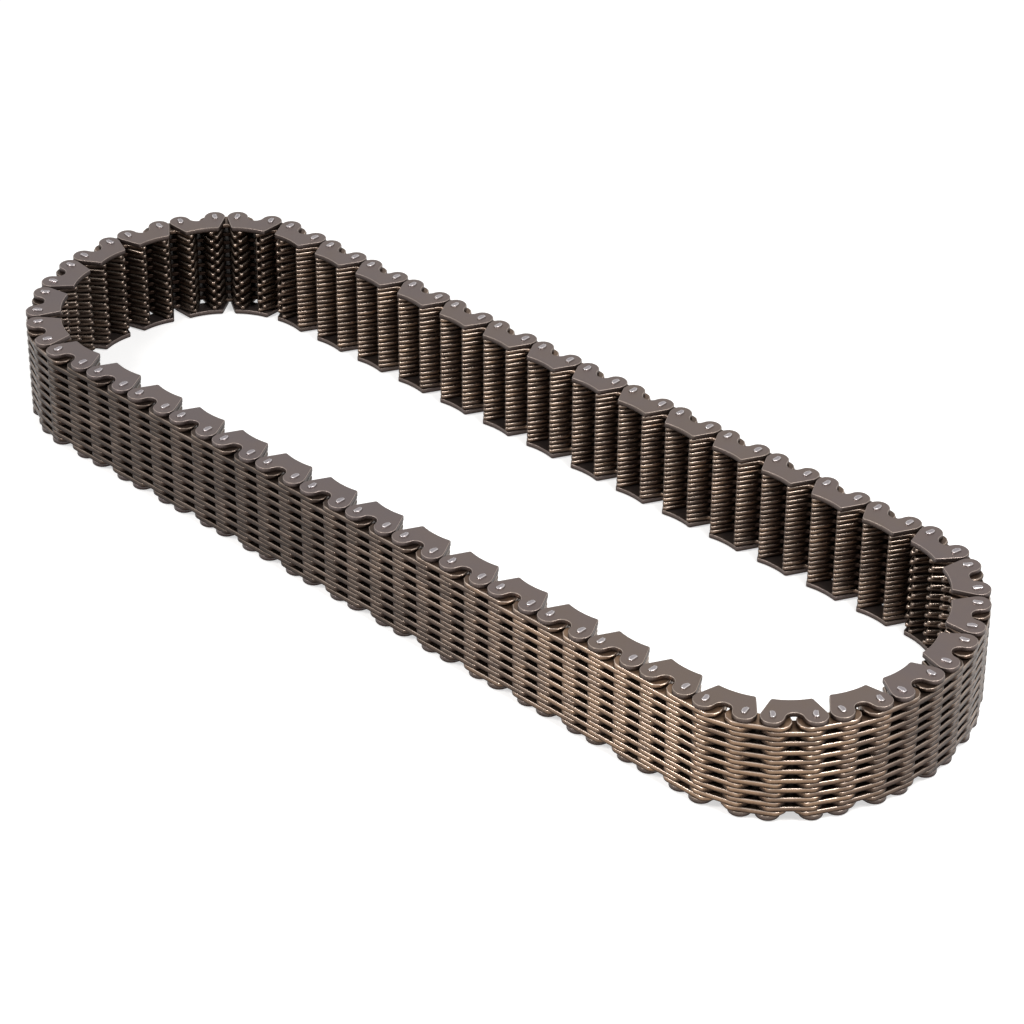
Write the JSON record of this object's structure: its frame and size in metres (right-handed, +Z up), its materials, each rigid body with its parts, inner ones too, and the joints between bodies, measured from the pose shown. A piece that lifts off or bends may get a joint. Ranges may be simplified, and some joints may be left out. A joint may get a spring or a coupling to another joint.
{
  "type": "silent chain",
  "caption": "Endless inverted-tooth drive chain of laced steel plates with guide plates on both sides and rocker-pin joints, lying on its side as a long loop.",
  "frame": {"origin": "centre of the loop, on the plane of the lower pin ends that it rests on", "axes": "+X along the straight strands, +Y across the loop, +Z up along the joint axes"},
  "size_m": [0.3518, 0.114, 0.0339],
  "materials": {
    "toothed_plates": "stamped and heat-treated, bronze-grey, oiled",
    "guide_plates": "stamped, brown-grey, satin",
    "rocker_pins": "hardened, bright grey with a rounded end"
  },
  "bodies": {
    "outer_link_01": {"outer_link_01": "guide_plates"},
    "inner_link_02": {"inner_link_02": "toothed_plates"},
    "outer_link_03": {"outer_link_03": "guide_plates"},
    "inner_link_04": {"inner_link_04": "toothed_plates"},
    "outer_link_05": {"outer_link_05": "guide_plates"},
    "inner_link_06": {"inner_link_06": "toothed_plates"},
    "outer_link_07": {"outer_link_07": "guide_plates"},
    "inner_link_08": {"inner_link_08": "toothed_plates"},
    "outer_link_09": {"outer_link_09": "guide_plates"},
    "inner_link_10": {"inner_link_10": "toothed_plates"},
    "outer_link_11": {"outer_link_11": "guide_plates"},
    "inner_link_12": {"inner_link_12": "toothed_plates"},
    "outer_link_13": {"outer_link_13": "guide_plates"},
    "inner_link_14": {"inner_link_14": "toothed_plates"},
    "outer_link_15": {"outer_link_15": "guide_plates"},
    "inner_link_16": {"inner_link_16": "toothed_plates"},
    "link_pair_17_18": {"link_pair_17_18": "toothed_plates"},
    "link_pair_19_20": {"link_pair_19_20": "toothed_plates"},
    "link_pair_21_22": {"link_pair_21_22": "toothed_plates"},
    "link_pair_23_24": {"link_pair_23_24": "toothed_plates"},
    "link_pair_25_26": {"link_pair_25_26": "toothed_plates"},
    "link_pair_27_28": {"link_pair_27_28": "toothed_plates"},
    "link_pair_29_30": {"link_pair_29_30": "toothed_plates"},
    "link_pair_31_32": {"link_pair_31_32": "toothed_plates"},
    "link_pair_33_34": {"link_pair_33_34": "toothed_plates"},
    "link_pair_35_36": {"link_pair_35_36": "toothed_plates"},
    "link_pair_37_38": {"link_pair_37_38": "toothed_plates"},
    "link_pair_39_40": {"link_pair_39_40": "toothed_plates"},
    "link_pair_41_42": {"link_pair_41_42": "toothed_plates"},
    "outer_link_43": {"outer_link_43": "guide_plates"},
    "inner_link_44": {"inner_link_44": "toothed_plates"},
    "outer_link_45": {"outer_link_45": "guide_plates"},
    "inner_link_46": {"inner_link_46": "toothed_plates"},
    "outer_link_47": {"outer_link_47": "guide_plates"},
    "inner_link_48": {"inner_link_48": "toothed_plates"},
    "outer_link_49": {"outer_link_49": "guide_plates"},
    "inner_link_50": {"inner_link_50": "toothed_plates"},
    "outer_link_51": {"outer_link_51": "guide_plates"},
    "inner_link_52": {"inner_link_52": "toothed_plates"},
    "outer_link_53": {"outer_link_53": "guide_plates"},
    "inner_link_54": {"inner_link_54": "toothed_plates"},
    "outer_link_55": {"outer_link_55": "guide_plates"},
    "inner_link_56": {"inner_link_56": "toothed_plates"},
    "outer_link_57": {"outer_link_57": "guide_plates"},
    "inner_link_58": {"inner_link_58": "toothed_plates"},
    "outer_link_59": {"outer_link_59": "guide_plates"},
    "link_pair_60_61": {"link_pair_60_61": "toothed_plates"},
    "link_pair_62_63": {"link_pair_62_63": "toothed_plates"},
    "link_pair_64_65": {"link_pair_64_65": "toothed_plates"},
    "link_pair_66_67": {"link_pair_66_67": "toothed_plates"},
    "link_pair_68_69": {"link_pair_68_69": "toothed_plates"},
    "link_pair_70_71": {"link_pair_70_71": "toothed_plates"},
    "link_pair_72_73": {"link_pair_72_73": "toothed_plates"},
    "link_pair_74_75": {"link_pair_74_75": "toothed_plates"},
    "link_pair_76_77": {"link_pair_76_77": "toothed_plates"},
    "link_pair_78_79": {"link_pair_78_79": "toothed_plates"},
    "link_pair_80_81": {"link_pair_80_81": "toothed_plates"},
    "link_pair_82_83": {"link_pair_82_83": "toothed_plates"},
    "link_pair_84_85": {"link_pair_84_85": "toothed_plates"},
    "inner_link_86": {"inner_link_86": "toothed_plates"}
  },
  "joints": [
    {"name": "joint_30_31", "type": "hinge", "parent": "link_pair_29_30", "child": "link_pair_31_32", "pos_m": [-0.01283, 0.05283, 0.01692], "axis": [0, 0, 1], "range_deg": [-4, 12.5]},
    {"name": "joint_32_33", "type": "hinge", "parent": "link_pair_31_32", "child": "link_pair_33_34", "pos_m": [-0.03188, 0.05283, 0.01692], "axis": [0, 0, 1], "range_deg": [-4, 12.5]},
    {"name": "joint_34_35", "type": "hinge", "parent": "link_pair_33_34", "child": "link_pair_35_36", "pos_m": [-0.05093, 0.05283, 0.01692], "axis": [0, 0, 1], "range_deg": [-4, 12.5]},
    {"name": "joint_36_37", "type": "hinge", "parent": "link_pair_35_36", "child": "link_pair_37_38", "pos_m": [-0.06998, 0.05283, 0.01692], "axis": [0, 0, 1], "range_deg": [-4, 19]},
    {"name": "joint_38_39", "type": "hinge", "parent": "link_pair_37_38", "child": "link_pair_39_40", "pos_m": [-0.08903, 0.05283, 0.01692], "axis": [0, 0, 1], "range_deg": [-4, 19]},
    {"name": "joint_40_41", "type": "hinge", "parent": "link_pair_39_40", "child": "link_pair_41_42", "pos_m": [-0.10808, 0.05283, 0.01692], "axis": [0, 0, 1], "range_deg": [-4, 19]},
    {"name": "joint_42_43", "type": "hinge", "parent": "link_pair_41_42", "child": "outer_link_43", "pos_m": [-0.12713, 0.05283, 0.01692], "axis": [0, 0, 1], "range_deg": [-4, 19]},
    {"name": "joint_43_44", "type": "hinge", "parent": "outer_link_43", "child": "inner_link_44", "pos_m": [-0.13666, 0.05283, 0.01692], "axis": [0, 0, 1], "range_deg": [-19, 4]},
    {"name": "joint_44_45", "type": "hinge", "parent": "inner_link_44", "child": "outer_link_45", "pos_m": [-0.14586, 0.05036, 0.01692], "axis": [0, 0, 1], "range_deg": [-19, 4]},
    {"name": "joint_45_46", "type": "hinge", "parent": "outer_link_45", "child": "inner_link_46", "pos_m": [-0.1541, 0.0456, 0.01692], "axis": [0, 0, 1], "range_deg": [-19, 4]},
    {"name": "joint_46_47", "type": "hinge", "parent": "inner_link_46", "child": "outer_link_47", "pos_m": [-0.16084, 0.03886, 0.01692], "axis": [0, 0, 1], "range_deg": [-19, 4]},
    {"name": "joint_47_48", "type": "hinge", "parent": "outer_link_47", "child": "inner_link_48", "pos_m": [-0.1656, 0.03061, 0.01692], "axis": [0, 0, 1], "range_deg": [-12.5, 4]},
    {"name": "joint_48_49", "type": "hinge", "parent": "inner_link_48", "child": "outer_link_49", "pos_m": [-0.16909, 0.02175, 0.01692], "axis": [0, 0, 1], "range_deg": [-12.5, 4]},
    {"name": "joint_49_50", "type": "hinge", "parent": "outer_link_49", "child": "inner_link_50", "pos_m": [-0.17124, 0.01247, 0.01692], "axis": [0, 0, 1], "range_deg": [-12.5, 4]},
    {"name": "joint_50_51", "type": "hinge", "parent": "inner_link_50", "child": "outer_link_51", "pos_m": [-0.17198, 0.00298, 0.01692], "axis": [0, 0, 1], "range_deg": [-11.5, 11.5]},
    {"name": "joint_51_52", "type": "hinge", "parent": "outer_link_51", "child": "inner_link_52", "pos_m": [-0.17132, -0.00653, 0.01692], "axis": [0, 0, 1], "range_deg": [-11.5, 11.5]},
    {"name": "joint_52_53", "type": "hinge", "parent": "inner_link_52", "child": "outer_link_53", "pos_m": [-0.16926, -0.01583, 0.01692], "axis": [0, 0, 1], "range_deg": [-12.5, 4]},
    {"name": "joint_53_54", "type": "hinge", "parent": "outer_link_53", "child": "inner_link_54", "pos_m": [-0.16584, -0.02472, 0.01692], "axis": [0, 0, 1], "range_deg": [-12.5, 4]},
    {"name": "joint_54_55", "type": "hinge", "parent": "inner_link_54", "child": "outer_link_55", "pos_m": [-0.16115, -0.03301, 0.01692], "axis": [0, 0, 1], "range_deg": [-12.5, 4]},
    {"name": "joint_55_56", "type": "hinge", "parent": "outer_link_55", "child": "inner_link_56", "pos_m": [-0.15529, -0.04051, 0.01692], "axis": [0, 0, 1], "range_deg": [-17, 4]},
    {"name": "joint_56_57", "type": "hinge", "parent": "inner_link_56", "child": "outer_link_57", "pos_m": [-0.14789, -0.04651, 0.01692], "axis": [0, 0, 1], "range_deg": [-17, 4]},
    {"name": "joint_57_58", "type": "hinge", "parent": "outer_link_57", "child": "inner_link_58", "pos_m": [-0.13933, -0.05068, 0.01692], "axis": [0, 0, 1], "range_deg": [-17, 4]},
    {"name": "joint_58_59", "type": "hinge", "parent": "inner_link_58", "child": "outer_link_59", "pos_m": [-0.13004, -0.05283, 0.01692], "axis": [0, 0, 1], "range_deg": [-17, 4]},
    {"name": "joint_59_60", "type": "hinge", "parent": "outer_link_59", "child": "link_pair_60_61", "pos_m": [-0.12052, -0.05283, 0.01692], "axis": [0, 0, 1], "range_deg": [-4, 17]},
    {"name": "joint_61_62", "type": "hinge", "parent": "link_pair_60_61", "child": "link_pair_62_63", "pos_m": [-0.10147, -0.05283, 0.01692], "axis": [0, 0, 1], "range_deg": [-4, 17]},
    {"name": "joint_63_64", "type": "hinge", "parent": "link_pair_62_63", "child": "link_pair_64_65", "pos_m": [-0.08242, -0.05283, 0.01692], "axis": [0, 0, 1], "range_deg": [-4, 17]},
    {"name": "joint_65_66", "type": "hinge", "parent": "link_pair_64_65", "child": "link_pair_66_67", "pos_m": [-0.06337, -0.05283, 0.01692], "axis": [0, 0, 1], "range_deg": [-4, 17]},
    {"name": "joint_67_68", "type": "hinge", "parent": "link_pair_66_67", "child": "link_pair_68_69", "pos_m": [-0.04432, -0.05283, 0.01692], "axis": [0, 0, 1], "range_deg": [-4, 12.5]},
    {"name": "joint_69_70", "type": "hinge", "parent": "link_pair_68_69", "child": "link_pair_70_71", "pos_m": [-0.02527, -0.05283, 0.01692], "axis": [0, 0, 1], "range_deg": [-4, 12.5]},
    {"name": "joint_28_29", "type": "hinge", "parent": "link_pair_29_30", "child": "link_pair_27_28", "pos_m": [0.00622, 0.05283, 0.01692], "axis": [0, 0, -1], "range_deg": [-4, 12.5]},
    {"name": "joint_26_27", "type": "hinge", "parent": "link_pair_27_28", "child": "link_pair_25_26", "pos_m": [0.02527, 0.05283, 0.01692], "axis": [0, 0, -1], "range_deg": [-4, 12.5]},
    {"name": "joint_24_25", "type": "hinge", "parent": "link_pair_25_26", "child": "link_pair_23_24", "pos_m": [0.04432, 0.05283, 0.01692], "axis": [0, 0, -1], "range_deg": [-4, 12.5]},
    {"name": "joint_22_23", "type": "hinge", "parent": "link_pair_23_24", "child": "link_pair_21_22", "pos_m": [0.06337, 0.05283, 0.01692], "axis": [0, 0, -1], "range_deg": [-4, 17]},
    {"name": "joint_20_21", "type": "hinge", "parent": "link_pair_21_22", "child": "link_pair_19_20", "pos_m": [0.08242, 0.05283, 0.01692], "axis": [0, 0, -1], "range_deg": [-4, 17]},
    {"name": "joint_18_19", "type": "hinge", "parent": "link_pair_19_20", "child": "link_pair_17_18", "pos_m": [0.10147, 0.05283, 0.01692], "axis": [0, 0, -1], "range_deg": [-4, 17]},
    {"name": "joint_16_17", "type": "hinge", "parent": "link_pair_17_18", "child": "inner_link_16", "pos_m": [0.12052, 0.05283, 0.01692], "axis": [0, 0, -1], "range_deg": [-4, 17]},
    {"name": "joint_15_16", "type": "hinge", "parent": "inner_link_16", "child": "outer_link_15", "pos_m": [0.13004, 0.05283, 0.01692], "axis": [0, 0, -1], "range_deg": [-17, 4]},
    {"name": "joint_14_15", "type": "hinge", "parent": "outer_link_15", "child": "inner_link_14", "pos_m": [0.13933, 0.05068, 0.01692], "axis": [0, 0, -1], "range_deg": [-17, 4]},
    {"name": "joint_13_14", "type": "hinge", "parent": "inner_link_14", "child": "outer_link_13", "pos_m": [0.14789, 0.04651, 0.01692], "axis": [0, 0, -1], "range_deg": [-17, 4]},
    {"name": "joint_12_13", "type": "hinge", "parent": "outer_link_13", "child": "inner_link_12", "pos_m": [0.15529, 0.04051, 0.01692], "axis": [0, 0, -1], "range_deg": [-17, 4]},
    {"name": "joint_11_12", "type": "hinge", "parent": "inner_link_12", "child": "outer_link_11", "pos_m": [0.16115, 0.03301, 0.01692], "axis": [0, 0, -1], "range_deg": [-12.5, 4]},
    {"name": "joint_10_11", "type": "hinge", "parent": "outer_link_11", "child": "inner_link_10", "pos_m": [0.16584, 0.02472, 0.01692], "axis": [0, 0, -1], "range_deg": [-12.5, 4]},
    {"name": "joint_09_10", "type": "hinge", "parent": "inner_link_10", "child": "outer_link_09", "pos_m": [0.16926, 0.01583, 0.01692], "axis": [0, 0, -1], "range_deg": [-12.5, 4]},
    {"name": "joint_08_09", "type": "hinge", "parent": "outer_link_09", "child": "inner_link_08", "pos_m": [0.17132, 0.00653, 0.01692], "axis": [0, 0, -1], "range_deg": [-11.5, 11.5]},
    {"name": "joint_07_08", "type": "hinge", "parent": "inner_link_08", "child": "outer_link_07", "pos_m": [0.17198, -0.00298, 0.01692], "axis": [0, 0, -1], "range_deg": [-11.5, 11.5]},
    {"name": "joint_06_07", "type": "hinge", "parent": "outer_link_07", "child": "inner_link_06", "pos_m": [0.17124, -0.01247, 0.01692], "axis": [0, 0, -1], "range_deg": [-12.5, 4]},
    {"name": "joint_05_06", "type": "hinge", "parent": "inner_link_06", "child": "outer_link_05", "pos_m": [0.16909, -0.02175, 0.01692], "axis": [0, 0, -1], "range_deg": [-12.5, 4]},
    {"name": "joint_04_05", "type": "hinge", "parent": "outer_link_05", "child": "inner_link_04", "pos_m": [0.1656, -0.03061, 0.01692], "axis": [0, 0, -1], "range_deg": [-12.5, 4]},
    {"name": "joint_03_04", "type": "hinge", "parent": "inner_link_04", "child": "outer_link_03", "pos_m": [0.16084, -0.03886, 0.01692], "axis": [0, 0, -1], "range_deg": [-19, 4]},
    {"name": "joint_02_03", "type": "hinge", "parent": "outer_link_03", "child": "inner_link_02", "pos_m": [0.1541, -0.0456, 0.01692], "axis": [0, 0, -1], "range_deg": [-19, 4]},
    {"name": "joint_01_02", "type": "hinge", "parent": "inner_link_02", "child": "outer_link_01", "pos_m": [0.14586, -0.05036, 0.01692], "axis": [0, 0, -1], "range_deg": [-19, 4]},
    {"name": "joint_86_01", "type": "hinge", "parent": "outer_link_01", "child": "inner_link_86", "pos_m": [0.13666, -0.05283, 0.01692], "axis": [0, 0, -1], "range_deg": [-19, 4]},
    {"name": "joint_85_86", "type": "hinge", "parent": "inner_link_86", "child": "link_pair_84_85", "pos_m": [0.12713, -0.05283, 0.01692], "axis": [0, 0, -1], "range_deg": [-4, 19]},
    {"name": "joint_83_84", "type": "hinge", "parent": "link_pair_84_85", "child": "link_pair_82_83", "pos_m": [0.10808, -0.05283, 0.01692], "axis": [0, 0, -1], "range_deg": [-4, 19]},
    {"name": "joint_81_82", "type": "hinge", "parent": "link_pair_82_83", "child": "link_pair_80_81", "pos_m": [0.08903, -0.05283, 0.01692], "axis": [0, 0, -1], "range_deg": [-4, 19]},
    {"name": "joint_79_80", "type": "hinge", "parent": "link_pair_80_81", "child": "link_pair_78_79", "pos_m": [0.06998, -0.05283, 0.01692], "axis": [0, 0, -1], "range_deg": [-4, 19]},
    {"name": "joint_77_78", "type": "hinge", "parent": "link_pair_78_79", "child": "link_pair_76_77", "pos_m": [0.05093, -0.05283, 0.01692], "axis": [0, 0, -1], "range_deg": [-4, 12.5]},
    {"name": "joint_75_76", "type": "hinge", "parent": "link_pair_76_77", "child": "link_pair_74_75", "pos_m": [0.03188, -0.05283, 0.01692], "axis": [0, 0, -1], "range_deg": [-4, 12.5]},
    {"name": "joint_73_74", "type": "hinge", "parent": "link_pair_74_75", "child": "link_pair_72_73", "pos_m": [0.01283, -0.05283, 0.01692], "axis": [0, 0, -1], "range_deg": [-4, 12.5]}
  ],
  "couplings": [
    {"joint": "joint_15_16", "follows": "joint_16_17", "ratio": -1},
    {"joint": "joint_59_60", "follows": "joint_16_17", "ratio": 1},
    {"joint": "joint_58_59", "follows": "joint_16_17", "ratio": -1},
    {"joint": "joint_14_15", "follows": "joint_18_19", "ratio": -1},
    {"joint": "joint_61_62", "follows": "joint_18_19", "ratio": 1},
    {"joint": "joint_57_58", "follows": "joint_18_19", "ratio": -1},
    {"joint": "joint_13_14", "follows": "joint_20_21", "ratio": -1},
    {"joint": "joint_63_64", "follows": "joint_20_21", "ratio": 1},
    {"joint": "joint_56_57", "follows": "joint_20_21", "ratio": -1},
    {"joint": "joint_12_13", "follows": "joint_22_23", "ratio": -1},
    {"joint": "joint_65_66", "follows": "joint_22_23", "ratio": 1},
    {"joint": "joint_55_56", "follows": "joint_22_23", "ratio": -1},
    {"joint": "joint_11_12", "follows": "joint_24_25", "ratio": -1},
    {"joint": "joint_67_68", "follows": "joint_24_25", "ratio": 1},
    {"joint": "joint_54_55", "follows": "joint_24_25", "ratio": -1},
    {"joint": "joint_10_11", "follows": "joint_26_27", "ratio": -1},
    {"joint": "joint_69_70", "follows": "joint_26_27", "ratio": 1},
    {"joint": "joint_53_54", "follows": "joint_26_27", "ratio": -1},
    {"joint": "joint_09_10", "follows": "joint_28_29", "ratio": -1},
    {"joint": "joint_52_53", "follows": "joint_28_29", "ratio": -1},
    {"joint": "joint_06_07", "follows": "joint_30_31", "ratio": -1},
    {"joint": "joint_73_74", "follows": "joint_30_31", "ratio": 1},
    {"joint": "joint_49_50", "follows": "joint_30_31", "ratio": -1},
    {"joint": "joint_05_06", "follows": "joint_32_33", "ratio": -1},
    {"joint": "joint_75_76", "follows": "joint_32_33", "ratio": 1},
    {"joint": "joint_48_49", "follows": "joint_32_33", "ratio": -1},
    {"joint": "joint_04_05", "follows": "joint_34_35", "ratio": -1},
    {"joint": "joint_77_78", "follows": "joint_34_35", "ratio": 1},
    {"joint": "joint_47_48", "follows": "joint_34_35", "ratio": -1},
    {"joint": "joint_03_04", "follows": "joint_36_37", "ratio": -1},
    {"joint": "joint_79_80", "follows": "joint_36_37", "ratio": 1},
    {"joint": "joint_46_47", "follows": "joint_36_37", "ratio": -1},
    {"joint": "joint_02_03", "follows": "joint_38_39", "ratio": -1},
    {"joint": "joint_81_82", "follows": "joint_38_39", "ratio": 1},
    {"joint": "joint_45_46", "follows": "joint_38_39", "ratio": -1},
    {"joint": "joint_01_02", "follows": "joint_40_41", "ratio": -1},
    {"joint": "joint_83_84", "follows": "joint_40_41", "ratio": 1},
    {"joint": "joint_44_45", "follows": "joint_40_41", "ratio": -1},
    {"joint": "joint_86_01", "follows": "joint_42_43", "ratio": -1},
    {"joint": "joint_85_86", "follows": "joint_42_43", "ratio": 1},
    {"joint": "joint_43_44", "follows": "joint_42_43", "ratio": -1},
    {"joint": "joint_08_09", "follows": "joint_07_08", "ratio": -1},
    {"joint": "joint_50_51", "follows": "joint_07_08", "ratio": 1},
    {"joint": "joint_51_52", "follows": "joint_07_08", "ratio": -1}
  ]
}
